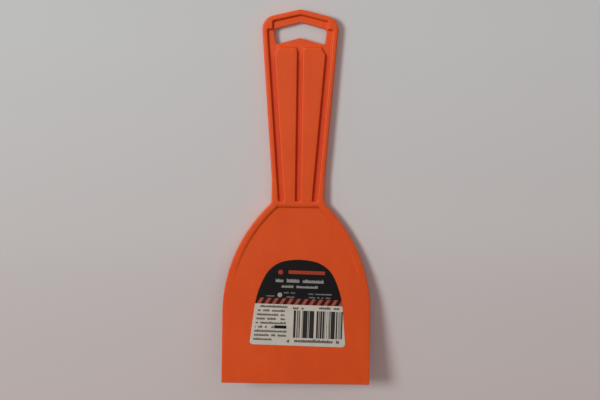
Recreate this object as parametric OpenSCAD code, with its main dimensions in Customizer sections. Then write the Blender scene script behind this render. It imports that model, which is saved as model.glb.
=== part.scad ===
// Flexible plastic putty knife: one moulding with a thin tapering blade and a ribbed handle, and a label.
// It lies on its back with the hanging end towards +Y and its thickness along +Z. The origin is on the
// surface it lies on, under the middle of its box. Inside the modules, y = 0 is the working edge and z = 0
// is the middle of the thickness.

/* [Overall] */
// Length from the working edge to the tip of the hanging end
total_len = 192.5; // [188:0.5:199]
// Thickness of the handle, from face to face
handle_t = 6; // [5.4:0.1:7]

/* [Blade] */
// Width of the working edge
blade_w = 76.2; // [74:0.1:79]
// Length of the blade's parallel sides, from the working edge
side_len = 36.5; // [33:0.5:38]
// Radius of each shoulder curve
shoulder_r = 77.6; // [77:0.1:80]
// Thickness at the working edge
edge_t = 1.0; // [0.7:0.1:1.4]
// Thickness at the root, where the handle starts
root_t = 4.2; // [3.6:0.1:4.6]
// Distance from the working edge to the step where the handle starts
root_y = 91.2; // [90:0.1:92]
// Distance from the working edge to where the shoulder rims fade out
fade_y = 54; // [50:1:58]
// Width of the raised rim along each shoulder
shoulder_rim_w = 3.4; // [2.5:0.1:4]

/* [Handle] */
// Width of the neck
neck_w = 27.3; // [26.5:0.1:28]
// Distance from the working edge to where the handle starts to widen
widen_y = 105.5; // [102:0.5:110]
// Widening of each side for each millimetre of length
side_slope = 0.078; // [0.06:0.001:0.085]
// Fall of each half of the pointed end for each millimetre of width
tip_slope = 0.235; // [0.2:0.005:0.26]
// Radius of the two corners of the pointed end
end_r = 7; // [5:0.5:8]
// Radius of the tip
tip_r = 6; // [3:0.5:8]
// Radius where the neck meets each shoulder
neck_r = 3.5; // [3:0.1:4]

/* [Ribs] */
// Width of the rim along each side of the handle
rim_w = 2.75; // [2.4:0.05:2.8]
// Width of the rim along the pointed end
tip_rim_w = 2.8; // [2.6:0.1:3]
// Width of each side groove
groove_w = 2.7; // [2.4:0.1:3]
// Width of the middle groove
mid_groove_w = 2.6; // [2:0.1:3]
// Distance from the working edge to the lower end of the grooves
groove_y = 93.85; // [93.5:0.05:95]
// Thickness of the web at the bottom of the grooves
web_t = 2.6; // [2:0.1:3]
// Distance from the tip down to the top of the grip panels
panel_drop = 19.3; // [19:0.1:20.5]

/* [Hanging hole] */
// Width across the top corners of the hanging hole
hole_w = 27.4; // [25:0.1:28]
// Height of the hanging hole at its middle
hole_h = 8; // [7.4:0.1:8.2]
// Distance from the tip down to the top of the hanging hole
hole_drop = 6.5; // [6.3:0.1:6.9]
// Radius of the hole's lower corners
hole_r = 1; // [0.6:0.1:1.2]

/* [Label] */
// Height of the label
label_h = 44.3; // [42:0.1:45]
// Radius of the middle of its arched top
arch_top_r = 35; // [30:0.5:36]
// Radius of the arch on each side of that
arch_shoulder_r = 15; // [14:0.5:15.5]
// Radius of the arch where it runs into the straight sides
arch_side_r = 46; // [40:0.5:48]
// Lean of each straight side, in degrees
label_taper = 6; // [5:0.5:7]
// Thickness of the label
label_t = 0.12; // [0.08:0.01:0.2]
// Distance from the working edge to the label's foot
label_y = 19.65; // [17:0.05:20]
// How far the label sits to the right of the middle
label_x = 0.75; // [-1:0.05:1]
// How far the label is turned clockwise, in degrees
label_turn = 1.2; // [-1.5:0.1:1.5]

/* [Flex line] */
// Distance from the working edge to the line that the blade flexes about
flex_y = 68; // [67:0.5:72]
// Clearance between the two halves of the moulding along that line
flex_gap = 0.2; // [0.15:0.05:0.3]

/* [Hidden] */
$fn = 96;

ARC_STEPS = 6;      // straight steps in each small rounded corner
PAST = 1;           // how far a cutter reaches past what it cuts
PLASTIC = [0.80, 0.25, 0.09];
PAPER = [0.93, 0.92, 0.90];

half_t = handle_t / 2;
neck_half = neck_w / 2;
shoulder_x = shoulder_r - blade_w / 2;           // how far each shoulder's centre is past the middle
fade_half_t = blade_half(fade_y);
end_x = (neck_half + side_slope * (total_len - widen_y)) / (1 + side_slope * tip_slope);
end_y = total_len - tip_slope * end_x;           // where a side and the pointed end would meet
pad_x = end_x - 5.9;                             // inner edge of the raised pad in each end corner
pad_y = end_y - 5.7;                             // lower edge of that pad
panel_y = total_len - panel_drop;
panel_cut_x = 2.6;                               // size of the cut corner at each panel's outer top
panel_cut_y = 3.9;
hole_top = total_len - hole_drop;
hole_fall = 0.27;                                // slope of the hole's edges
hole_foot_w = hole_w - 2.2;
flex_r = rim_half(flex_y) + 0.17;                // radius of the rounded end of the blade half
ARCH_TOP_END = 12.5;                             // where the arch's arcs meet, in degrees from upright
ARCH_SHOULDER_END = 62;
LABEL_CORNER_R = 1.6;

// Half thickness of the blade, and of its shoulder rims, at a distance from the working edge
function blade_half(y) = edge_t / 2 + (root_t - edge_t) / 2 * y / root_y;
function rim_half(y) = fade_half_t + (half_t - fade_half_t) * (y - fade_y) / (root_y - fade_y);
// Half width of the handle, measured in from its sloping side, at a distance from the working edge
function inset(y, w) = neck_half + side_slope * (y - widen_y) - w;

function flat(p) = [p[0], p[1]];
function unit(v) = v / norm(v);
function turn(a, b) = (b - a + 540) % 360 - 180;  // the short way round from angle a to angle b
// The arc that rounds corner b = [x, y, radius] between its neighbours a and c
function corner(a, b, c) =
    b[2] == 0 ? [flat(b)] :
    let (
        to_a = unit(flat(a) - flat(b)),
        to_c = unit(flat(c) - flat(b)),
        half = acos(to_a * to_c) / 2,
        centre = flat(b) + unit(to_a + to_c) * b[2] / sin(half),
        first = flat(b) + to_a * b[2] / tan(half) - centre,
        last = flat(b) + to_c * b[2] / tan(half) - centre,
        start = atan2(first[1], first[0]),
        sweep = turn(start, atan2(last[1], last[0]))
    )
    [for (i = [0:ARC_STEPS]) let (t = start + sweep * i / ARC_STEPS) centre + b[2] * [cos(t), sin(t)]];
function rounded(c) =
    let (n = len(c)) [for (i = [0:n - 1]) each corner(c[(i + n - 1) % n], c[i], c[(i + 1) % n])];
// The right half of an outline, from bottom to top, followed by its mirror image
function flip(p) = len(p) == 3 ? [-p[0], p[1], p[2]] : [-p[0], p[1]];
function both_sides(c) = concat(c, [for (i = [len(c) - 1:-1:0]) if (c[i][0] != 0) flip(c[i])]);

// A prism across the whole width, from an outline drawn in y and z
module across(points) {
    rotate([90, 0, 90]) linear_extrude(blade_w + 2 * PAST, center = true) polygon(points);
}

// Does the same thing to the front and to the back
module both_faces() {
    children();
    mirror([0, 0, 1]) children();
}

module shoulder_lens(inset_w) {
    intersection() {
        translate([-shoulder_x, side_len]) circle(shoulder_r - inset_w);
        translate([shoulder_x, side_len]) circle(shoulder_r - inset_w);
    }
}

// Fills the corners between the neck and the shoulders with arcs that are tangent to both
module neck_flare() {
    cx = neck_half + neck_r;
    cy = side_len + sqrt((shoulder_r + neck_r) ^ 2 - (shoulder_x + cx) ^ 2);
    touch = atan2(side_len - cy, -shoulder_x - cx) + 360;
    arc = [
        for (i = [0:ARC_STEPS])
        let (t = touch + (180 - touch) * i / ARC_STEPS)
        [cx + neck_r * cos(t), cy + neck_r * sin(t)]
    ];
    polygon(both_sides(arc));
}

module handle_outline() {
    peak_y = total_len + tip_r * (sqrt(1 + tip_slope ^ 2) - 1);  // the rounded tip ends at total_len
    polygon(rounded(both_sides([
        [neck_half, root_y - PAST, 0],
        [neck_half, widen_y, 0],
        [end_x, end_y, end_r],
        [0, peak_y, tip_r]
    ])));
}

module outline() {
    translate([-blade_w / 2, 0]) square([blade_w, side_len]);
    intersection() {
        shoulder_lens(0);
        translate([-blade_w / 2, side_len]) square([blade_w, total_len]);
    }
    handle_outline();
    neck_flare();
}

// The floor of the grooves and the ledge round the hole, with the pads left standing in the end corners
module groove_area() {
    polygon(both_sides([
        [inset(groove_y, rim_w), groove_y],
        [inset(pad_y, rim_w), pad_y],
        [pad_x, pad_y],
        [pad_x, total_len - tip_rim_w - tip_slope * pad_x],
        [0, total_len - tip_rim_w]
    ]));
}

// The right-hand grip panel
module panel() {
    mid = mid_groove_w / 2;
    outer = rim_w + groove_w;
    polygon([
        [mid, groove_y - PAST],
        [inset(groove_y - PAST, outer), groove_y - PAST],
        [inset(panel_y - panel_cut_y, outer), panel_y - panel_cut_y],
        [inset(panel_y, outer) - panel_cut_x, panel_y],
        [mid + 0.8, panel_y - 0.3],
        [mid, panel_y - 2]
    ]);
}

module hole_outline() {
    half_top = hole_w / 2;
    half_foot = hole_foot_w / 2;
    foot = hole_top - hole_h;
    polygon(rounded(both_sides([
        [0, foot, 0],
        [half_foot, foot - hole_fall * half_foot, hole_r],
        [half_top, hole_top - hole_fall * half_top, 2 * hole_r],
        [0, hole_top, 3 * hole_r]
    ])));
}

// The outline at the level of the rims: the blade's taper, the rims' rise and the flat handle
module blank() {
    side = [[0, edge_t / 2], [fade_y, fade_half_t], [root_y, half_t], [total_len + PAST, half_t]];
    intersection() {
        linear_extrude(handle_t, center = true) outline();
        across(concat(side, [for (i = [len(side) - 1:-1:0]) [side[i][0], -side[i][1]]]));
    }
}

// Cuts the blade's face down between the shoulder rims
module face_cutter() {
    intersection() {
        linear_extrude(handle_t) shoulder_lens(shoulder_rim_w);
        across([
            [fade_y, fade_half_t],
            [root_y, root_t / 2],
            [root_y, half_t + PAST],
            [fade_y, half_t + PAST]
        ]);
    }
}

module groove_cutter() {
    translate([0, 0, web_t / 2]) linear_extrude(half_t) difference() {
        groove_area();
        panel();
        mirror([1, 0]) panel();
    }
}

module moulding() {
    difference() {
        blank();
        both_faces() face_cutter();
        both_faces() groove_cutter();
        linear_extrude(handle_t + 2 * PAST, center = true) hole_outline();
    }
}

// Everything on the blade's side of the flex line, with a round end of radius r about that line
module blade_side(r) {
    translate([-blade_w, -PAST, -handle_t]) cube([2 * blade_w, flex_y + PAST, 2 * handle_t]);
    translate([0, flex_y, 0]) rotate([0, 90, 0]) cylinder(r = r, h = 2 * blade_w, center = true);
}

// Points on an arc about centre c, in steps from angle a to angle b, measured from upright
function arch_arc(c, r, a, b) =
    [for (i = [1:ARC_STEPS]) let (t = a + (b - a) * i / ARC_STEPS) [c[0] + r * sin(t), c[1] + r * cos(t), 0]];
function upright(t) = [sin(t), cos(t)];

module label_outline() {
    side_end = 90 - label_taper;
    top_c = [0, label_h - arch_top_r];
    shoulder_c = top_c + (arch_top_r - arch_shoulder_r) * upright(ARCH_TOP_END);
    side_c = shoulder_c + (arch_shoulder_r - arch_side_r) * upright(ARCH_SHOULDER_END);
    waist = side_c + arch_side_r * upright(side_end);
    foot_half = waist[0] + waist[1] * tan(label_taper);
    translate([label_x, label_y]) rotate(-label_turn) polygon(rounded(both_sides(concat(
        [[foot_half, 0, LABEL_CORNER_R], [waist[0], waist[1], 0]],
        arch_arc(side_c, arch_side_r, side_end, ARCH_SHOULDER_END),
        arch_arc(shoulder_c, arch_shoulder_r, ARCH_SHOULDER_END, ARCH_TOP_END),
        arch_arc(top_c, arch_top_r, ARCH_TOP_END, 0)
    ))));
}

// Puts a piece drawn from the working edge and mid-thickness into the part's frame
module placed() {
    translate([0, -total_len / 2, half_t]) children();
}

module handle() {
    color(PLASTIC) placed() difference() {
        moulding();
        blade_side(flex_r + flex_gap);
    }
}

module blade() {
    color(PLASTIC) placed() intersection() {
        moulding();
        blade_side(flex_r);
    }
}

module label() {
    lift = [0, label_t];
    color(PAPER) placed() intersection() {
        linear_extrude(handle_t) label_outline();
        across([
            [0, blade_half(0)],
            [root_y, blade_half(root_y)],
            [root_y, blade_half(root_y)] + lift,
            [0, blade_half(0)] + lift
        ]);
    }
}

handle();
blade();
label();
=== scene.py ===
"""Looks of the flexible plastic putty knife: one orange moulding and the printed label on its blade.

Shapes are drawn in millimetres, as in the CAD design: x from the middle, y from the working edge and z from
mid-thickness. in_frame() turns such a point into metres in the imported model's frame.
"""
import math

import bmesh
import bpy
import numpy as np
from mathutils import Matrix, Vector
from mathutils.geometry import delaunay_2d_cdt


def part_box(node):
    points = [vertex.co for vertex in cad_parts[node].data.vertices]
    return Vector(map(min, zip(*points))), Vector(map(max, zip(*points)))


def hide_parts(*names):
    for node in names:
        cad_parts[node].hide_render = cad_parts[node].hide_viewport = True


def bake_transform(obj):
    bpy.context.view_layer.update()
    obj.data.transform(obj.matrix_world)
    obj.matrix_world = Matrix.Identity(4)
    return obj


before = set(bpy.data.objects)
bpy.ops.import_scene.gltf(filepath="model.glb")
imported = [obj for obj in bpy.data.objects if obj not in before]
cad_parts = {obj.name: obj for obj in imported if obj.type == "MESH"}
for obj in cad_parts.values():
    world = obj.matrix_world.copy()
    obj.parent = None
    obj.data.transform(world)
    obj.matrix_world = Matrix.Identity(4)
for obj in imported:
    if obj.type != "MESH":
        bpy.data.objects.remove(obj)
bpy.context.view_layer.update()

MM = 0.001

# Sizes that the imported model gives
BLADE_LOW, BLADE_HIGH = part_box("blade")
HANDLE_LOW, HANDLE_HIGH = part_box("handle")
EDGE_Y = BLADE_LOW.y                                # the working edge, in metres
MID_Z = (HANDLE_LOW.z + HANDLE_HIGH.z) / 2          # mid-thickness, in metres
BLADE_HALF_W = BLADE_HIGH.x / MM
TOTAL_LEN = (HANDLE_HIGH.y - BLADE_LOW.y) / MM
HALF_T = (HANDLE_HIGH.z - HANDLE_LOW.z) / 2 / MM

# Blade
SIDE_LEN = 36.5
SHOULDER_R = 77.6
EDGE_T = 1.0
ROOT_T = 4.2
ROOT_Y = 91.2
FADE_Y = 54.0
SHOULDER_RIM_W = 3.4
RIM_RISE = 0.6                                      # below 1, the rims keep their height before they fade out

# Handle
NECK_HALF = 13.65
NECK_R = 3.5
WIDEN_Y = 105.5
SIDE_SLOPE = 0.078
TIP_SLOPE = 0.235
END_R = 7.0
TIP_R = 6.0

# Ribs and hanging hole
RIM_W = 2.75
TIP_RIM_W = 2.8
GROOVE_W = 2.7
MID_GROOVE_HALF = 1.3
GROOVE_Y = 93.85
GROOVE_Z = 1.3                                      # half thickness of the web at the bottom of the grooves
PANEL_DROP = 19.3
PANEL_OUTER_CUT = (2.6, 3.9)                        # top corner by the rim: cut across, cut down
PANEL_INNER_CUT = (0.8, 0.3, 2.0)                   # by the middle: cut across, its upper and lower drop
PAD_INSET = 5.9                                     # the thick corners beside the hanging hole
PAD_DROP = 5.7
HOLE_HALF_TOP = 13.7
HOLE_HALF_FOOT = 12.6
HOLE_DROP = 6.5
HOLE_H = 8.0
HOLE_FALL = 0.27
HOLE_R = 1.0

# Label
LABEL_H = 44.3
LABEL_T = 0.11
LABEL_AT = (0.75, 19.65)
LABEL_TURN = math.radians(1.2)
LABEL_TAPER = math.radians(6)                       # lean of the straight sides
ARCH = [(35, 12.5), (15, 62), (46, 84)]             # radius of each arc, and its end in degrees from upright
LABEL_CORNER_R = 1.6

# Small roundings that moulding leaves
PLAN_R = 0.75                                       # corners of the grooves, seen from the front
BLADE_CORNER_R = 0.5
OUTER_EDGE_R = (0.24, 0.8)                          # edge of the outline: at the working edge, on the handle
SIDE_DRAFT = 0.05
GROOVE_TOP_R = 0.45
GROOVE_FOOT_R = 0.35
GROOVE_DRAFT = 0.38
RECESS_TOP_R = 0.3
RECESS_FOOT_R = 0.65
RECESS_DRAFT = 0.5
HOLE_EDGE_R = 0.35
SHEEN_AND_WEAR_DEPTH = 0.8                                    # a step at least this deep has its full painted edge highlight and wear

# How finely the meshes are made
FILLET_STEPS = 4
FILLET_ANGLES = [i * math.pi / 2 / FILLET_STEPS for i in range(FILLET_STEPS + 1)]
ARC_TURN = math.radians(11)                         # most that one straight step of an arc turns
MESH_STEP = 3.0                                     # longest step along an outline, and spacing inside a face
ON_LINE = 1e-6                                      # nearer than this to a line of symmetry is on it
CDT_ALL = 0                                         # the fill keeps every triangle, to be sorted afterwards
CDT_NEAR = 1e-5                                     # the fill joins points that are nearer than this
FLAT_WEIGHT = 100                                   # the larger, flat faces decide the shade at their edges

# Half width of the handle where its sides meet its sloping end
END_X = (NECK_HALF + SIDE_SLOPE * (TOTAL_LEN - WIDEN_Y)) / (1 + SIDE_SLOPE * TIP_SLOPE)


# ---------------------------------------------------------------- outlines

def in_frame(point):
    """A point in millimetres, as this file draws shapes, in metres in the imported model's frame."""
    return Vector((point[0] * MM, EDGE_Y + point[1] * MM, MID_Z + point[2] * MM))


def arc(centre, radius, start, end):
    """Points from angle start to angle end, in radians, on a circle."""
    steps = max(1, math.ceil(abs(end - start) / min(ARC_TURN, MESH_STEP / radius)))
    angles = [start + (end - start) * i / steps for i in range(steps + 1)]
    return [(centre[0] + radius * math.cos(a), centre[1] + radius * math.sin(a)) for a in angles]


def corner(before, at, after):
    """The arc that rounds corner at = (x, y, radius), or the bare point where it has no radius."""
    spot = Vector(at[:2])
    if len(at) == 2 or at[2] == 0:
        return [tuple(spot)]
    to_before = (Vector(before[:2]) - spot).normalized()
    to_after = (Vector(after[:2]) - spot).normalized()
    half = to_before.angle(to_after) / 2
    centre = spot + (to_before + to_after).normalized() * at[2] / math.sin(half)
    first = spot + to_before * at[2] / math.tan(half) - centre
    last = spot + to_after * at[2] / math.tan(half) - centre
    start = math.atan2(first.y, first.x)
    sweep = (math.atan2(last.y, last.x) - start + math.pi) % math.tau - math.pi
    return arc(centre, at[2], start, start + sweep)


def rounded(points):
    """A closed outline with every (x, y, radius) corner turned into an arc."""
    count = len(points)
    return [p for i in range(count) for p in corner(points[i - 1], points[i], points[(i + 1) % count])]


def both_sides(half):
    """The right half of an outline, from bottom to top, followed by its mirror image."""
    return list(half) + [(-p[0], *p[1:]) for p in reversed(half) if abs(p[0]) > ON_LINE]


def dense(loop):
    """The closed outline with its long straight stretches divided."""
    made = []
    for start, end in zip(loop, loop[1:] + loop[:1]):
        steps = max(1, math.ceil(math.dist(start, end) / MESH_STEP))
        made += [tuple(Vector(start).lerp(Vector(end), i / steps)) for i in range(steps)]
    return made


def offset(loop, distances):
    """The anticlockwise outline with each point moved outwards by its own distance."""
    points = np.array(loop)
    along = np.roll(points, -1, 0) - points
    along /= np.linalg.norm(along, axis=1)[:, None]
    normal = np.stack([along[:, 1], -along[:, 0]], 1)
    middle = normal + np.roll(normal, 1, 0)
    middle /= np.linalg.norm(middle, axis=1)[:, None]
    stretch = np.sum(middle * normal, 1)
    return points + middle * (np.broadcast_to(distances, len(loop)) / stretch)[:, None]


def inset(y, width):
    """Half width of the handle at y, measured in from its sloping side."""
    return NECK_HALF + SIDE_SLOPE * (y - WIDEN_Y) - width


def moulding_outline():
    """The whole tool seen from the front: working edge, shoulders, neck, and the handle's peaked end."""
    shoulder_x = BLADE_HALF_W - SHOULDER_R
    flare_x = NECK_HALF + NECK_R
    flare_y = SIDE_LEN + math.sqrt((SHOULDER_R + NECK_R) ** 2 - (flare_x - shoulder_x) ** 2)
    touch = math.atan2(flare_y - SIDE_LEN, flare_x - shoulder_x)
    peak_y = TOTAL_LEN + TIP_R * (math.sqrt(1 + TIP_SLOPE ** 2) - 1)
    shoulder = arc((shoulder_x, SIDE_LEN), SHOULDER_R, 0, touch)
    flare = arc((flare_x, flare_y), NECK_R, touch + math.pi, math.pi)
    half = [(0, 0), (BLADE_HALF_W, 0, BLADE_CORNER_R), *shoulder, *flare[1:], (NECK_HALF, WIDEN_Y)]
    half += [(END_X, TOTAL_LEN - TIP_SLOPE * END_X, END_R), (0, peak_y, TIP_R)]
    return dense(rounded(both_sides(half)))


def recess_outline():
    """The blade's face between the shoulder rims, from where the rims fade out up to the handle."""
    centre = (BLADE_HALF_W - SHOULDER_R, SIDE_LEN)
    radius = SHOULDER_R - SHOULDER_RIM_W
    low = math.asin((FADE_Y - SIDE_LEN) / radius)
    high = math.asin((ROOT_Y - SIDE_LEN) / radius)
    side = arc(centre, radius, low, high)
    half = [(0, FADE_Y), *side[:-1], (*side[-1], 2 * PLAN_R), (0, ROOT_Y)]
    return dense(rounded(both_sides(half)))


def groove_outline():
    """The three grooves and the ledge round the hanging hole, which are one sunk area."""
    pad_x = END_X - PAD_INSET
    pad_y = TOTAL_LEN - TIP_SLOPE * END_X - PAD_DROP
    ledge_y = TOTAL_LEN - TIP_RIM_W
    panel_y = TOTAL_LEN - PANEL_DROP
    panel_w = RIM_W + GROOVE_W
    rim_side = [
        (inset(GROOVE_Y, RIM_W), GROOVE_Y, PLAN_R),
        (inset(pad_y, RIM_W), pad_y, PLAN_R),
        (pad_x, pad_y, PLAN_R),
        (pad_x, ledge_y - TIP_SLOPE * pad_x, PLAN_R),
        (0, ledge_y, 2 * PLAN_R),
    ]
    panel_side = [
        (inset(GROOVE_Y, panel_w), GROOVE_Y, PLAN_R),
        (inset(panel_y - PANEL_OUTER_CUT[1], panel_w), panel_y - PANEL_OUTER_CUT[1], 2 * PLAN_R),
        (inset(panel_y, panel_w) - PANEL_OUTER_CUT[0], panel_y, PLAN_R),
        (MID_GROOVE_HALF + PANEL_INNER_CUT[0], panel_y - PANEL_INNER_CUT[1], PLAN_R),
        (MID_GROOVE_HALF, panel_y - PANEL_INNER_CUT[2], PLAN_R),
        (MID_GROOVE_HALF, GROOVE_Y, PLAN_R),
    ]
    left_panel = [(-x, y, r) for x, y, r in panel_side]
    return dense(rounded(both_sides(rim_side) + left_panel + panel_side[::-1]))


def hole_outline():
    """The hanging hole, peaked at its top and its foot like the handle's end."""
    top = TOTAL_LEN - HOLE_DROP
    foot = top - HOLE_H
    return dense(rounded(both_sides([
        (0, foot),
        (HOLE_HALF_FOOT, foot - HOLE_FALL * HOLE_HALF_FOOT, HOLE_R),
        (HOLE_HALF_TOP, top - HOLE_FALL * HOLE_HALF_TOP, 2 * HOLE_R),
        (0, top, 3 * HOLE_R),
    ])))


def label_outline():
    """The arch-topped label in its own place: x from its middle and y from its foot."""
    centre = Vector((0, LABEL_H))
    arch = []
    last_radius = 0
    start = math.pi / 2
    for radius, end_degrees in ARCH:
        end = math.pi / 2 - math.radians(end_degrees)
        centre += (last_radius - radius) * Vector((math.cos(start), math.sin(start)))
        arch = arch[:-1] + arc(centre, radius, start, end)
        last_radius, start = radius, end
    waist_x, waist_y = arch[-1]
    foot_half = waist_x + waist_y * math.tan(LABEL_TAPER)
    return dense(rounded(both_sides([(foot_half, 0, LABEL_CORNER_R)] + arch[::-1])))


# ---------------------------------------------------------------- heights

def blade_half(y):
    """Half thickness of the blade."""
    return (EDGE_T + (ROOT_T - EDGE_T) * y / ROOT_Y) / 2


def top_half(y):
    """Half thickness at the level of the blade, then the shoulder rims, then the handle."""
    if y <= FADE_Y:
        return blade_half(y)
    if y >= ROOT_Y:
        return HALF_T
    rise = ((y - FADE_Y) / (ROOT_Y - FADE_Y)) ** RIM_RISE
    return blade_half(y) + (HALF_T - blade_half(ROOT_Y)) * rise


def groove_floor(y):
    """Half thickness of the web at the bottom of the grooves, the same at every y."""
    return GROOVE_Z


def mid_plane(y):
    """Mid-thickness, where the front meets its mirror image."""
    return 0.0


def wall_profile(depth, top_r, foot_r, draft):
    """A wall from its rounded top to its filleted foot, as (distance outwards, share of the height, painted
    edge highlight and wear).
    """
    # The top's rounding carries the painted edge highlight and wear, strongest half way round
    top = [
        (draft / 2 + top_r * (1 - math.sin(a)), 1 - top_r * (1 - math.cos(a)) / depth, math.sin(2 * a))
        for a in FILLET_ANGLES
    ]
    foot = [
        (-draft / 2 - foot_r * (1 - math.cos(a)), foot_r * (1 - math.sin(a)) / depth, 0)
        for a in FILLET_ANGLES
    ]
    return top + foot


# ---------------------------------------------------------------- meshes

class Shell:
    """Collects the points and faces of a closed mesh, in millimetres, with the painted edge highlight and
    wear at each point.
    """

    def __init__(self):
        self.points = []
        self.sheen_and_wear = []
        self.faces = []

    def ring(self, loop, height, sheen_and_wear=0.0):
        """Adds a closed row of points at height(y) and returns their numbers."""
        first = len(self.points)
        self.points += [(float(x), float(y), height(float(y))) for x, y in loop]
        self.sheen_and_wear += list(np.broadcast_to(sheen_and_wear, len(loop)))
        return list(range(first, len(self.points)))

    def band(self, lower, upper):
        """Joins two rings by a strip of four-sided faces, facing right of the way the lower ring runs."""
        count = len(lower)
        for i in range(count):
            j = (i + 1) % count
            self.faces.append((lower[i], lower[j], upper[j], upper[i]))

    def fill(self, rings, height):
        """Fills the area inside the first ring and outside the others, with points at an even spacing."""
        loops = [np.array([self.points[i][:2] for i in ring]) for ring in rings]
        numbers = [i for ring in rings for i in ring]
        edges = []
        for loop in loops:
            first = len(edges)
            edges += [(first + i, first + (i + 1) % len(loop)) for i in range(len(loop))]
        inner = even_points(loops)
        numbers += self.ring(inner, height)
        spots = [Vector(self.points[i][:2]) for i in numbers]
        _, _, triangles, origins, _, _ = delaunay_2d_cdt(spots, edges, [], CDT_ALL, CDT_NEAR)
        triangles = [tuple(origins[i][0] for i in triangle) for triangle in triangles]
        self.faces += [tuple(numbers[i] for i in triangle) for triangle in enclosed(triangles, edges)]

    def mirrored(self):
        """Adds the back as the mirror image of the front, sharing the points at mid-thickness."""
        count = len(self.points)
        twin = {}
        for i in range(count):
            x, y, z = self.points[i]
            if abs(z) < ON_LINE:
                twin[i] = i
                continue
            twin[i] = len(self.points)
            self.points.append((x, y, -z))
            self.sheen_and_wear.append(self.sheen_and_wear[i])
        self.faces += [tuple(twin[i] for i in reversed(face)) for face in self.faces]

    def piece(self, name):
        """The finished object, with each point's painted edge highlight and wear, and its place at rest, kept
        for its material.
        """
        mesh = bpy.data.meshes.new(name)
        mesh.from_pydata([in_frame(p) for p in self.points], [], self.faces)
        mesh.attributes.new("sheen_and_wear", "FLOAT", "POINT").data.foreach_set("value", self.sheen_and_wear)
        rest = mesh.attributes.new("rest_mm", "FLOAT_VECTOR", "POINT")
        rest.data.foreach_set("vector", np.array(self.points, np.float32).ravel())
        mesh.validate()
        mesh.shade_smooth()
        made = bpy.data.objects.new(name, mesh)
        bpy.context.scene.collection.objects.link(made)
        return made


def sides_of(triangle):
    """The three sides, each as the unordered pair of its ends."""
    return [frozenset((triangle[i - 1], triangle[i])) for i in range(3)]


def enclosed(triangles, edges):
    """The triangles that lie inside an odd number of the loops that the edges make."""
    loops = {frozenset(edge) for edge in edges}
    beside = {}
    for triangle in triangles:
        for side in sides_of(triangle):
            beside.setdefault(side, []).append(triangle)
    odd = {}
    waiting = [(owners[0], side in loops) for side, owners in beside.items() if len(owners) == 1]
    while waiting:
        triangle, is_odd = waiting.pop()
        if triangle in odd:
            continue
        odd[triangle] = is_odd
        for side in sides_of(triangle):
            waiting += [(other, is_odd != (side in loops)) for other in beside[side] if other not in odd]
    return [triangle for triangle in triangles if odd[triangle]]


def inside(points, loops):
    """Whether each point is inside an odd number of the closed loops."""
    odd = np.zeros(len(points), bool)
    for loop in loops:
        end = np.roll(loop, -1, 0)
        for (x0, y0), (x1, y1) in zip(loop, end):
            crosses = (y0 > points[:, 1]) != (y1 > points[:, 1])
            if crosses.any():
                reach = x0 + (points[:, 1] - y0) / (y1 - y0) * (x1 - x0)
                odd ^= crosses & (points[:, 0] < reach)
    return odd


def even_points(loops):
    """Points in staggered rows inside the loops, clear of their lines."""
    low, high = loops[0].min(0), loops[0].max(0)
    row_gap = MESH_STEP * math.sqrt(3) / 2
    rows = np.arange(math.ceil(low[1] / row_gap), math.floor(high[1] / row_gap) + 1)
    columns = np.arange(math.ceil(low[0] / MESH_STEP), math.floor(high[0] / MESH_STEP) + 1)
    grid = np.array([((c + (r % 2) / 2) * MESH_STEP, r * row_gap) for r in rows for c in columns])
    grid = grid[inside(grid, loops)]
    clear = np.full(len(grid), np.inf)
    for loop in loops:
        for start, end in zip(loop, np.roll(loop, -1, 0)):
            along = end - start
            share = np.clip((grid - start) @ along / (along @ along), 0, 1)
            clear = np.minimum(clear, np.linalg.norm(grid - start - share[:, None] * along, axis=1))
    return grid[clear > MESH_STEP / 2]


def outer_edge(shell):
    """The side wall of the moulding and its rounded edge. Returns the ring where the flat top begins."""
    outline = moulding_outline()
    lower = shell.ring(outline, mid_plane)
    thin, thick = OUTER_EDGE_R
    radii = np.array([thin + (thick - thin) * min(1, y / ROOT_Y) for x, y in outline])
    for angle in FILLET_ANGLES:
        loop = offset(outline, -SIDE_DRAFT - radii * (1 - math.cos(angle)))
        # Painted highlight with light wear: paler half way round the rounded edge
        upper = shell.ring(loop, top_half, math.sin(2 * angle))
        for i, radius in zip(upper, radii):
            x, y, z = shell.points[i]
            shell.points[i] = (x, y, z - radius * (1 - math.sin(angle)))
        shell.band(lower, upper)
        lower = upper
    return lower


def between(floor, share):
    """The height a share of the way up from a floor to the top, as a function of y."""
    return lambda y: floor(y) + (top_half(y) - floor(y)) * share


def sunk_wall(shell, outline, floor, profile):
    """The wall round a sunk area. Returns its top ring and its foot ring."""
    depths = np.array([top_half(y) - floor(y) for x, y in outline])
    # A deeper step gets more of the painted edge highlight and wear
    sheen_and_wear_share = np.clip(depths / SHEEN_AND_WEAR_DEPTH, 0, 1)
    rings = []
    for distance, share, sheen_and_wear in profile:
        rings.append(shell.ring(offset(outline, distance), between(floor, share), sheen_and_wear * sheen_and_wear_share))
    for upper, lower in zip(rings, rings[1:]):
        shell.band(lower, upper)
        shell.faces[-len(lower):] = [face[::-1] for face in shell.faces[-len(lower):]]
    return rings[0], rings[-1]


def hole_wall(shell):
    """The wall of the hanging hole from the ledge down to mid-thickness. Returns its ring on the ledge."""
    outline = hole_outline()
    rings = []
    for angle in FILLET_ANGLES:
        distance = SIDE_DRAFT + HOLE_EDGE_R * (1 - math.sin(angle))
        z = GROOVE_Z - HOLE_EDGE_R * (1 - math.cos(angle))
        # Painted highlight with light wear: paler half way round the rounded edge
        rings.append(shell.ring(offset(outline, distance), lambda y, z=z: z, math.sin(2 * angle)))
    rings.append(shell.ring(outline, mid_plane))
    for upper, lower in zip(rings, rings[1:]):
        shell.band(upper, lower)
    return rings[0]


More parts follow.
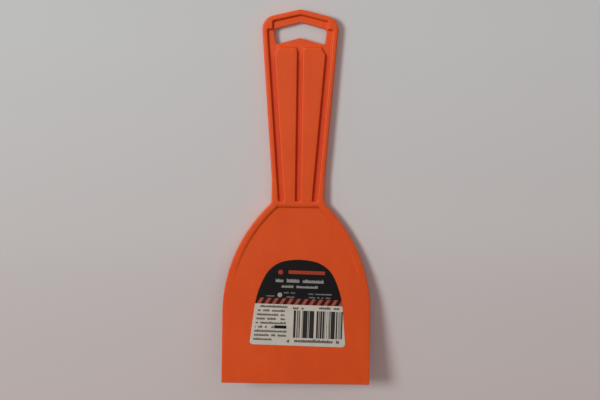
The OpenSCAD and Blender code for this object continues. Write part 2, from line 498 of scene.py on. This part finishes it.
def make_moulding():
    """Handle and blade as the one moulding that they are."""
    shell = Shell()
    edge = outer_edge(shell)
    recess_profile = wall_profile(HALF_T - blade_half(ROOT_Y), RECESS_TOP_R, RECESS_FOOT_R, RECESS_DRAFT)
    recess_top, recess_foot = sunk_wall(shell, recess_outline(), blade_half, recess_profile)
    groove_profile = wall_profile(HALF_T - GROOVE_Z, GROOVE_TOP_R, GROOVE_FOOT_R, GROOVE_DRAFT)
    groove_top, groove_foot = sunk_wall(shell, groove_outline(), groove_floor, groove_profile)
    hole = hole_wall(shell)
    shell.fill([edge, recess_top, groove_top], top_half)
    shell.fill([recess_foot], blade_half)
    shell.fill([groove_foot, hole], groove_floor)
    shell.mirrored()
    return shell.piece("moulding")


def make_label():
    """The printed sticker, a thin closed sheet on the front face of the blade."""
    turn = complex(math.cos(LABEL_TURN), -math.sin(LABEL_TURN))
    foot_at = complex(*LABEL_AT)
    spots = [complex(*p) * turn + foot_at for p in label_outline()]
    outline = [(p.real, p.imag) for p in spots]
    bevel = LABEL_T / 3
    shell = Shell()
    foot = shell.ring(outline, blade_half)
    side = shell.ring(outline, lambda y: blade_half(y) + LABEL_T - bevel)
    top = shell.ring(offset(outline, -bevel), lambda y: blade_half(y) + LABEL_T)
    shell.band(foot, side)
    shell.band(side, top)
    shell.fill([top], lambda y: blade_half(y) + LABEL_T)
    first = len(shell.faces)
    shell.fill([foot], blade_half)
    shell.faces[first:] = [face[::-1] for face in shell.faces[first:]]
    made = shell.piece("printed_label")
    # Each point's place on the flat sheet, from the middle of its foot, which the print is drawn by
    place = made.data.attributes.new("label_mm", "FLOAT_VECTOR", "POINT")
    own = [(complex(x, y) - foot_at) / turn for x, y, z in shell.points]
    place.data.foreach_set("vector", np.array([(p.real, p.imag, 0) for p in own], np.float32).ravel())
    return made


# ---------------------------------------------------------------- materials

class Graph:
    """Adds nodes to one material and joins them."""

    def __init__(self, name):
        self.material = bpy.data.materials.new(name)
        self.material.use_nodes = True
        self.tree = self.material.node_tree
        self.shader = self.tree.nodes["Principled BSDF"]

    def feed(self, socket, value):
        """Links another node's output to the socket, or sets the socket to a plain value."""
        if isinstance(value, bpy.types.NodeSocket):
            self.tree.links.new(value, socket)
        else:
            socket.default_value = value

    def set(self, **values):
        """Sets or links the shader's sockets, named with underscores for spaces."""
        for name, value in values.items():
            self.feed(self.shader.inputs[name.replace("_", " ")], value)

    def node(self, kind, values, **settings):
        """A new node with its settings, and its sockets fed by number or name."""
        made = self.tree.nodes.new("ShaderNode" + kind)
        for name, value in settings.items():
            setattr(made, name, value)
        for socket, value in values.items():
            self.feed(made.inputs[socket], value)
        return made

    def attribute(self, name, output="Vector"):
        return self.node("Attribute", {}, attribute_name=name).outputs[output]

    def math(self, operation, *values):
        return self.node("Math", dict(enumerate(values)), operation=operation).outputs[0]

    def stretched(self, vector, x, y, z):
        return self.node("VectorMath", {0: vector, 1: (x, y, z)}, operation="MULTIPLY").outputs[0]

    def noise(self, vector, scale, detail, roughness=0.5):
        values = {"Vector": vector, "Scale": scale, "Detail": detail, "Roughness": roughness}
        return self.node("TexNoise", values).outputs[0]

    def ramp(self, value, low, high, to_low=0.0, to_high=1.0):
        """value from low to high, spread over to_low to to_high and held there outside."""
        values = {0: value, 1: low, 2: high, 3: to_low, 4: to_high}
        return self.node("MapRange", values).outputs[0]

    def mix(self, share, first, second, way="MIX"):
        """A share of second mixed into first. The Mix node's colours are sockets 6 and 7, and output 2."""
        return self.node("Mix", {0: share, 6: first, 7: second}, data_type="RGBA", blend_type=way).outputs[2]

    def bump(self, height, distance, normal=None):
        """A normal from a height of 0 to 1 that stands for that distance in metres."""
        values = {"Height": height, "Distance": distance}
        if normal is not None:
            values["Normal"] = normal
        return self.node("Bump", values).outputs[0]


# The orange plastic. A pattern's number is its noise scale per millimetre, or three of them along x, y and z.
# A range is two noise values, then what they give where that isn't 0 and 1.
ORANGE = (0.87, 0.099, 0.003, 1)
ORANGE_DEEP = (0.82, 0.085, 0.002, 1)
# Paler orange for scuffs, and for the painted highlight with light wear on rounded edges
ORANGE_SHEEN_AND_WEAR = (0.89, 0.150, 0.035, 1)
CLOUD = 0.035
FLOW = (0.16, 0.018, 0.1)
CLOUD_SHARE, FLOW_SHARE = 0.6, 0.4
STREAK_RANGE = (0.38, 0.62)
SHEEN_AND_WEAR_NOISE = 0.5
SHEEN_AND_WEAR_RANGE = (0.35, 0.7, 0.15, 0.7)
SCRATCH_ALONG = (2.2, 0.07, 1.0)
SCRATCH_ACROSS = (0.09, 1.7, 1.0)
SCRATCH_ROUGHNESS = 0.6
SCRATCH_RANGE = (0.60, 0.72)
PATCH = 0.09
PATCH_RANGE = (0.52, 0.68)
SCUFF_PALE = 0.45                                   # how much paler and rougher scuffs are
SCUFF_ROUGH = 0.08
SWELL, GRAIN, PORES = 0.06, 2.6, 7.0
SWELL_H, GRAIN_H, PORES_H, SCUFF_H = 0.12 * MM, 0.012 * MM, 0.005 * MM, 0.004 * MM
GRAIN_ROUGH_RANGE = (0.3, 0.7, 0.44, 0.52)
PLASTIC_SPECULAR = 0.44
SUBSURFACE_WEIGHT = 0.5
SUBSURFACE_DEPTH = 1.5 * MM
SUBSURFACE_RGB = (1.0, 0.1, 0.05)                   # red light goes much further into the plastic
GROOVE_SHADE_TINT = (0.86, 0.65, 0.60, 1)                   # painted shade: multiplies the orange low in the narrow grooves
SUNK_FROM, SUNK_TO = 0.1, 0.6                       # it thins from this above the floor to this below the top
SUNK_FADE_NECK, SUNK_FADE_HOLE = 1.0, 8.0           # lengths of its fade at the two ends of the grooves


def groove_shade_share(g, place):
    """1 on the floor of the narrow grooves and low on their walls, where painted shade darkens the orange,
    and 0 elsewhere.
    """
    parts = g.node("SeparateXYZ", {0: place})
    y, z = parts.outputs[1], parts.outputs[2]
    panel_top = TOTAL_LEN - PANEL_DROP
    low = g.ramp(g.math("ABSOLUTE", z), GROOVE_Z + SUNK_FROM, HALF_T - SUNK_TO, 1.0, 0.0)
    past_neck = g.ramp(y, GROOVE_Y - SUNK_FADE_NECK, GROOVE_Y)
    before_hole = g.ramp(y, panel_top - SUNK_FADE_HOLE, panel_top, 1.0, 0.0)
    return g.math("MULTIPLY", low, g.math("MULTIPLY", past_neck, before_hole))


def scuff_share(g, place):
    """1 in fine scratches along and across the tool, which lie in patches, and 0 elsewhere."""
    along = g.noise(g.stretched(place, *SCRATCH_ALONG), 1.0, detail=5, roughness=SCRATCH_ROUGHNESS)
    across = g.noise(g.stretched(place, *SCRATCH_ACROSS), 1.0, detail=5, roughness=SCRATCH_ROUGHNESS)
    scratch = g.ramp(g.math("MAXIMUM", along, across), *SCRATCH_RANGE)
    return g.math("MULTIPLY", g.ramp(g.noise(place, PATCH, detail=3), *PATCH_RANGE), scratch)


def plastic_tone(g, place, scuff):
    """Two oranges in faint flow marks, paler where scuffed, paler on rounded edges as painted highlight with
    light wear, and darker in the grooves as painted shade.
    """
    cloud = g.math("MULTIPLY", g.noise(place, CLOUD, detail=3), CLOUD_SHARE)
    flow = g.math("MULTIPLY", g.noise(g.stretched(place, *FLOW), 1.0, detail=4), FLOW_SHARE)
    tone = g.mix(g.ramp(g.math("ADD", cloud, flow), *STREAK_RANGE), ORANGE_DEEP, ORANGE)
    # Painted highlight with light wear on the rounded edges, uneven along them
    uneven = g.ramp(g.noise(place, SHEEN_AND_WEAR_NOISE, detail=4), *SHEEN_AND_WEAR_RANGE)
    sheen_and_wear_share = g.math("MULTIPLY", g.attribute("sheen_and_wear", "Fac"), uneven)
    tone = g.mix(g.math("MAXIMUM", sheen_and_wear_share, g.math("MULTIPLY", scuff, SCUFF_PALE)), tone, ORANGE_SHEEN_AND_WEAR)
    # Painted shade: the orange is darkened low in the grooves, where their walls shade the floor
    return g.mix(groove_shade_share(g, place), tone, GROOVE_SHADE_TINT, "MULTIPLY")


def moulded_plastic():
    """Orange moulded plastic: faint flow marks, a fine matt grain, light scuffs, paler edges that are painted
    highlight with light wear, and painted shade in the grooves.
    """
    g = Graph("moulded_plastic")
    place = g.attribute("rest_mm")
    scuff = scuff_share(g, place)
    grain = g.noise(place, GRAIN, detail=2)
    rough = g.math("ADD", g.ramp(grain, *GRAIN_ROUGH_RANGE), g.math("MULTIPLY", scuff, SCUFF_ROUGH))
    normal = g.bump(g.noise(place, SWELL, detail=2), SWELL_H)
    normal = g.bump(grain, GRAIN_H, normal)
    normal = g.bump(g.noise(place, PORES, detail=1), PORES_H, normal)
    normal = g.bump(scuff, SCUFF_H, normal)
    g.set(Base_Color=plastic_tone(g, place, scuff), Roughness=rough, Normal=normal)
    g.set(Specular_IOR_Level=PLASTIC_SPECULAR, Subsurface_Weight=SUBSURFACE_WEIGHT)
    g.set(Subsurface_Scale=SUBSURFACE_DEPTH, Subsurface_Radius=SUBSURFACE_RGB)
    return g.material


# The label's paper and inks, with patterns and ranges as for the plastic
PAPER_WHITE = (0.68, 0.62, 0.54, 1)
PRINT_BLACK = (0.005, 0.003, 0.003, 1)
BAR_BLACK = (0.030, 0.024, 0.022, 1)
PRINT_GREY = (0.26, 0.245, 0.24, 1)
PRINT_RED = (0.42, 0.050, 0.022, 1)
STRIPE_LIGHT = (0.40, 0.090, 0.060, 1)
STRIPE_DARK = (0.040, 0.002, 0.001, 1)
INK_WHITE = (0.40, 0.385, 0.37, 1)
BLOTCH_PALE = (1, 1, 1, 1)                          # the two tones of the paper's blotches multiply the print
BLOTCH_DIM = (0.94, 0.91, 0.88, 1)
BLOTCH, FIBRE = 0.25, 3.5
BLOTCH_RANGE = (0.35, 0.65)
FIBRE_ROUGH_RANGE = (0.3, 0.7, 0.38, 0.48)
BLOTCH_H, FIBRE_H = 0.03 * MM, 0.006 * MM
PAPER_SPECULAR = 0.3

# How the stand-in print is drawn
GROUP_SIZE = 3.0                                    # strokes in a group
GAP_CHANCE = 0.15                                   # how often a group is left out
STROKE_PART = (0.05, 0.80)                          # part of its step that a stroke fills
STROKE_CHANCE = (0.55, 0.85)                        # random numbers that give the lowest and tallest strokes
STROKE_REACH = (0.2, 0.5)                           # tops of those, above the row's middle, by its height
SEED_SHIFT = 0.5                                    # keeps the draws for heights and groups apart
BAR_SEED = 7.0
BAR_GAP_CHANCE = 0.38                               # how often a step of the upright bars is left white
STRIPE_PART = 0.46                                  # part of its step that a slanting stripe fills


class Print(Graph):
    """Draws plain shapes in ink on the label, in millimetres from the middle of its foot."""

    def __init__(self, name):
        super().__init__(name)
        parts = self.node("SeparateXYZ", {0: self.attribute("label_mm")})
        self.x, self.y = parts.outputs[0], parts.outputs[1]
        self.colour = PAPER_WHITE

    def ink(self, mask, colour):
        """Prints a colour over what is there, where mask is 1."""
        self.colour = self.mix(mask, self.colour, colour)

    def strip(self, value, low, high):
        """1 where value is between low and high."""
        return self.math("COMPARE", value, (low + high) / 2, (high - low) / 2)

    def box(self, left, right, foot, top):
        """1 inside an upright rectangle."""
        return self.math("MULTIPLY", self.strip(self.x, left, right), self.strip(self.y, foot, top))

    def disc(self, x, y, radius):
        """1 inside a circle."""
        spot = self.node("CombineXYZ", {0: self.x, 1: self.y}).outputs[0]
        gap = self.node("VectorMath", {0: spot, 1: (x, y, 0)}, operation="DISTANCE").outputs["Value"]
        return self.math("LESS_THAN", gap, radius)

    def chance(self, across, row):
        """A random number for each whole step across and row."""
        cell = self.node("CombineXYZ", {0: self.math("FLOOR", across), 1: row}).outputs[0]
        return self.node("TexWhiteNoise", {"Vector": cell}, noise_dimensions="2D").outputs[0]

    def dashes(self, left, right, middle, height, pitch, seed):
        """A line of stand-in lettering: fine upright strokes of random heights in groups, and no letters."""
        across = self.math("DIVIDE", self.x, pitch)
        drawn = self.chance(self.math("DIVIDE", across, GROUP_SIZE), seed)
        group = self.math("GREATER_THAN", drawn, GAP_CHANCE)
        part = self.strip(self.math("FRACT", across), *STROKE_PART)
        line = self.box(left, right, middle - height / 2, middle + height / 2)
        low, tall = [middle + reach * height for reach in STROKE_REACH]
        top = self.ramp(self.chance(across, seed + SEED_SHIFT), *STROKE_CHANCE, low, tall)
        stroke = self.math("MULTIPLY", part, self.math("LESS_THAN", self.y, top))
        return self.math("MULTIPLY", self.math("MULTIPLY", line, stroke), group)

    def bars(self, left, right, foot, top, width):
        """Upright bars of random widths."""
        drawn = self.chance(self.math("DIVIDE", self.x, width), BAR_SEED)
        bar = self.math("GREATER_THAN", drawn, BAR_GAP_CHANCE)
        return self.math("MULTIPLY", self.box(left, right, foot, top), bar)

    def stripes(self, pitch, slant):
        """Slanting stripes across the whole label."""
        across = self.math("SUBTRACT", self.x, self.math("MULTIPLY", self.y, slant))
        share = self.math("FRACT", self.math("DIVIDE", across, pitch))
        return self.math("LESS_THAN", share, STRIPE_PART)


# The print, in millimetres from the middle of the label's foot
BAND_FOOT, BAND_TOP = 21.1, 24.2
STRIPE_PITCH = 3.8
STRIPE_SLANT = 0.6
RED_DISC = (-9.9, 37.6, 1.25)                       # discs: x, y, radius
PALE_DISC = (-9.9, 25.9, 1.2)
RED_BAR = (-5.8, 12.9, 36.9, 38.7)                  # rectangles: left, right, foot, top
BLACK_BAR = (-12.2, -5.9, 8.6, 10.2)
UPRIGHT_BARS = (-2.6, 22.8, 4.1, 18.2)
UPRIGHT_STEP = 0.24
ARCH_ROWS = [                                       # rows: left, right, middle, height, pitch, seed
    (-12.3, 12.4, 33.4, 1.9, 0.55, 1.0),
    (-9.2, 9.4, 30.4, 1.4, 0.50, 2.0),
]
PANEL_ROWS = [
    (-2.9, 2.7, 19.4, 1.3, 0.5, 21.0),
    (8.1, 21.5, 19.8, 1.3, 0.5, 22.0),
    (-5.6, -4.2, 2.4, 1.8, 0.5, 23.0),
    (-1.8, 22.3, 2.7, 1.8, 0.55, 24.0),
]
SMALL_LINES = [                                     # left, right, middle
    (-8.0, -2.0, 27.2),
    (-6.5, -2.4, 25.0),
    (4.7, 16.9, 26.9),
    (5.1, 16.2, 25.1),
    (-17.0, -12.7, 25.3),
]
SMALL_SHAPE = (0.75, 0.35)                          # height, pitch
SMALL_SEED = 3.0
TEXT_ROWS = [                                       # left, right
    (-19.9, -5.6),
    (-20.9, -7.0),
    (-21.4, -7.1),
    (-21.5, -6.0),
    (-21.8, -6.3),
    (-22.1, -12.4),
    (-22.4, -5.8),
    (-22.5, -5.9),
    (-22.8, -13.2),
]
TEXT_TOP = 19.9
TEXT_DROP = 2.12                                    # from one row's middle to the next
TEXT_SHAPE = (1.25, 0.38)
TEXT_SEED = 10.0


def draw_arch_print(g):
    """The print on the black arch."""
    g.ink(g.disc(*RED_DISC), PRINT_RED)
    g.ink(g.box(*RED_BAR), PRINT_RED)
    for row in ARCH_ROWS:
        g.ink(g.dashes(*row), INK_WHITE)
    g.ink(g.disc(*PALE_DISC), INK_WHITE)
    for row, (left, right, middle) in enumerate(SMALL_LINES):
        g.ink(g.dashes(left, right, middle, *SMALL_SHAPE, SMALL_SEED + row), PRINT_GREY)


def draw_panel_print(g):
    """The print on the white panel."""
    for row, (left, right) in enumerate(TEXT_ROWS):
        middle = TEXT_TOP - row * TEXT_DROP
        g.ink(g.dashes(left, right, middle, *TEXT_SHAPE, TEXT_SEED + row), PRINT_BLACK)
    g.ink(g.box(*BLACK_BAR), PRINT_BLACK)
    g.ink(g.bars(*UPRIGHT_BARS, UPRIGHT_STEP), BAR_BLACK)
    for row in PANEL_ROWS:
        g.ink(g.dashes(*row), PRINT_BLACK)


def printed_label():
    """Satin paper with a black arch, a striped band and stand-in print: bars and strokes, no lettering."""
    g = Print("printed_label")
    g.ink(g.math("GREATER_THAN", g.y, BAND_TOP), PRINT_BLACK)
    band = g.strip(g.y, BAND_FOOT, BAND_TOP)
    g.ink(band, STRIPE_DARK)
    g.ink(g.math("MULTIPLY", band, g.stripes(STRIPE_PITCH, STRIPE_SLANT)), STRIPE_LIGHT)
    draw_arch_print(g)
    draw_panel_print(g)
    place = g.attribute("rest_mm")
    blotch = g.noise(place, BLOTCH, detail=3)
    fibre = g.noise(place, FIBRE, detail=3)
    shade = g.mix(g.ramp(blotch, *BLOTCH_RANGE), BLOTCH_PALE, BLOTCH_DIM)
    tone = g.mix(1.0, g.colour, shade, "MULTIPLY")
    normal = g.bump(fibre, FIBRE_H, g.bump(blotch, BLOTCH_H))
    g.set(Base_Color=tone, Roughness=g.ramp(fibre, *FIBRE_ROUGH_RANGE), Normal=normal)
    g.set(Specular_IOR_Level=PAPER_SPECULAR)
    return g.material


# The floor
FLOOR_GREY = (0.755, 0.752, 0.750, 1)
FLOOR_PALE = (0.785, 0.782, 0.780, 1)
# Painted bounce light: the pink that the orange tool throws onto the floor below it
FLOOR_BOUNCE_PINK = (0.730, 0.625, 0.600, 1)
FLOOR_WARM = (0.08, -0.14, -0.20, -0.45)            # y in metres where the pink starts, is full, wanes, ends
FLOOR_CLOUD = 6.0                                   # noise scale per metre
FLOOR_ROUGH = 0.9
FLOOR_SPECULAR = 0.1


def matt_floor():
    """Pale grey and matt, with faint clouds and a faint pink stretch below the object, painted there as the
    orange light that the tool throws onto the floor.
    """
    g = Graph("matt_floor")
    place = g.node("TexCoord", {}).outputs["Object"]
    cloud = g.noise(place, FLOOR_CLOUD, detail=3)
    tone = g.mix(cloud, FLOOR_GREY, FLOOR_PALE)
    y = g.node("SeparateXYZ", {0: place}).outputs[1]
    start, full, wanes, end = FLOOR_WARM
    # Painted bounce light from the orange tool, in a stretch below it
    painted_bounce = g.math("MULTIPLY", g.ramp(y, start, full), g.ramp(y, end, wanes))
    tone = g.mix(painted_bounce, tone, FLOOR_BOUNCE_PINK)
    g.set(Base_Color=tone, Roughness=FLOOR_ROUGH, Specular_IOR_Level=FLOOR_SPECULAR)
    return g.material


# ---------------------------------------------------------------- stage

WHITE = (1.0, 1.0, 1.0)
FLOOR_KEY_TINT = (0.88, 1.0, 1.0)
FLOOR_FILL_TINT = (1.0, 0.64, 0.62)                 # warms the shadow beside the orange plastic
WORLD_TINT = (1.0, 0.99, 0.985, 1)
WORLD_LEVEL = 0.19
CAMERA_AT = (1.06, 94.65, 729.3)                    # in millimetres, as the shapes are
CAMERA_TURN = math.radians(0.835)
LENS_MM = 85
SENSOR_MM = 36
FLOOR_GAP = 0.1 * MM                                # between the floor and the handle
FLOOR_REACH = 4.0                                   # how far the floor goes to each side
SLOPE = math.radians(14.5)
SLOPE_STEPS = 16
SLOPE_FROM = 86 * MM                                # where the floor starts to fall, from the working edge
SLOPE_FULL = 52 * MM                                # where it has its full slope
SLOPE_END = -10 * MM                                # where it starts to level out
LEVEL_OUT = 45 * MM                                 # how far it takes to be level again


def floor_profile():
    """The floor's height along y: level under the handle, and falling away under the flexing blade."""
    bend_r = (SLOPE_FROM - SLOPE_FULL) / math.sin(SLOPE)
    out_r = LEVEL_OUT / math.sin(SLOPE)
    points = [(FLOOR_REACH, 0.0)]
    for i in range(SLOPE_STEPS + 1):
        angle = SLOPE * i / SLOPE_STEPS
        points.append((SLOPE_FROM - bend_r * math.sin(angle), -bend_r * (1 - math.cos(angle))))
    low_z = points[-1][1] - (SLOPE_FULL - SLOPE_END) * math.tan(SLOPE)
    for i in range(SLOPE_STEPS + 1):
        angle = SLOPE * (1 - i / SLOPE_STEPS)
        fall = out_r * (math.cos(angle) - math.cos(SLOPE))
        points.append((SLOPE_END - out_r * (math.sin(SLOPE) - math.sin(angle)), low_z - fall))
    points.append((-FLOOR_REACH, points[-1][1]))
    return points


def make_floor():
    """A pale sweep that everything stands on."""
    made = bmesh.new()
    level = HANDLE_LOW.z - FLOOR_GAP
    ends = (-FLOOR_REACH, FLOOR_REACH)
    rows = [[made.verts.new((x, EDGE_Y + y, level + z)) for x in ends] for y, z in floor_profile()]
    for upper, lower in zip(rows, rows[1:]):
        made.faces.new((lower[0], lower[1], upper[1], upper[0]))
    mesh = bpy.data.meshes.new("floor")
    made.to_mesh(mesh)
    made.free()
    mesh.shade_smooth()
    floor = bpy.data.objects.new("floor", mesh)
    bpy.context.scene.collection.objects.link(floor)
    floor.data.materials.append(matt_floor())
    return floor


def make_lamp(name, lit, towards, distance, spread, power, tint):
    """A soft round lamp that lights only the objects in lit, spread degrees wide as seen from the origin."""
    lamp = bpy.data.lights.new(name, "AREA")
    lamp.shape = "DISK"
    lamp.size = 2 * distance * math.tan(math.radians(spread) / 2)
    lamp.energy = power
    lamp.color = tint
    made = bpy.data.objects.new(name, lamp)
    bpy.context.scene.collection.objects.link(made)
    direction = Vector(towards).normalized()
    made.location = direction * distance
    made.rotation_euler = direction.to_track_quat("Z", "Y").to_euler()
    made.visible_camera = False
    group = bpy.data.collections.new(name + "_lights")
    for piece in lit:
        group.objects.link(piece)
    made.light_linking.receiver_collection = group


def make_world():
    """Even light from all round."""
    world = bpy.data.worlds.new("studio")
    world.use_nodes = True
    shade = world.node_tree.nodes["Background"]
    shade.inputs["Color"].default_value = WORLD_TINT
    shade.inputs["Strength"].default_value = WORLD_LEVEL
    bpy.context.scene.world = world


def make_camera():
    """The camera looks straight down on the object, a little turned."""
    lens = bpy.data.cameras.new("camera")
    lens.lens = LENS_MM
    lens.sensor_width = SENSOR_MM
    made = bpy.data.objects.new("camera", lens)
    made.location = in_frame(CAMERA_AT)
    made.rotation_euler = (0, 0, CAMERA_TURN)
    bpy.context.scene.collection.objects.link(made)
    bpy.context.scene.camera = made


def bend_with_blade(piece):
    """Bakes the piece's placement into its mesh; the piece is not made to follow the handle or the blade, or
    to bend.
    """
    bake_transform(piece)


def crisp(piece):
    """Shades flat faces flat and leaves the change of shade to the roundings between them."""
    weigh = piece.modifiers.new("weighted_normals", "WEIGHTED_NORMAL")
    weigh.weight = FLAT_WEIGHT
    weigh.keep_sharp = False


moulding = make_moulding()
moulding.data.materials.append(moulded_plastic())
crisp(moulding)
bend_with_blade(moulding)
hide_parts("handle", "blade")

label = make_label()
label.data.materials.append(printed_label())
crisp(label)
bend_with_blade(label)
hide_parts("label")

floor = make_floor()
make_lamp(
    "object_key", [moulding, label],
    towards=(-0.70, 0.5, 1), distance=1.1, spread=16, power=7.9, tint=WHITE,
)
make_lamp(
    "floor_key", [floor],
    towards=(-0.65, 0.06, 1), distance=2.2, spread=18, power=20.5, tint=FLOOR_KEY_TINT,
)
make_lamp(
    "floor_fill", [floor],
    towards=(0.05, 0.1, 1), distance=2.2, spread=80, power=10.5, tint=FLOOR_FILL_TINT,
)
make_world()
make_camera()
bpy.context.scene.view_settings.view_transform = "Standard"
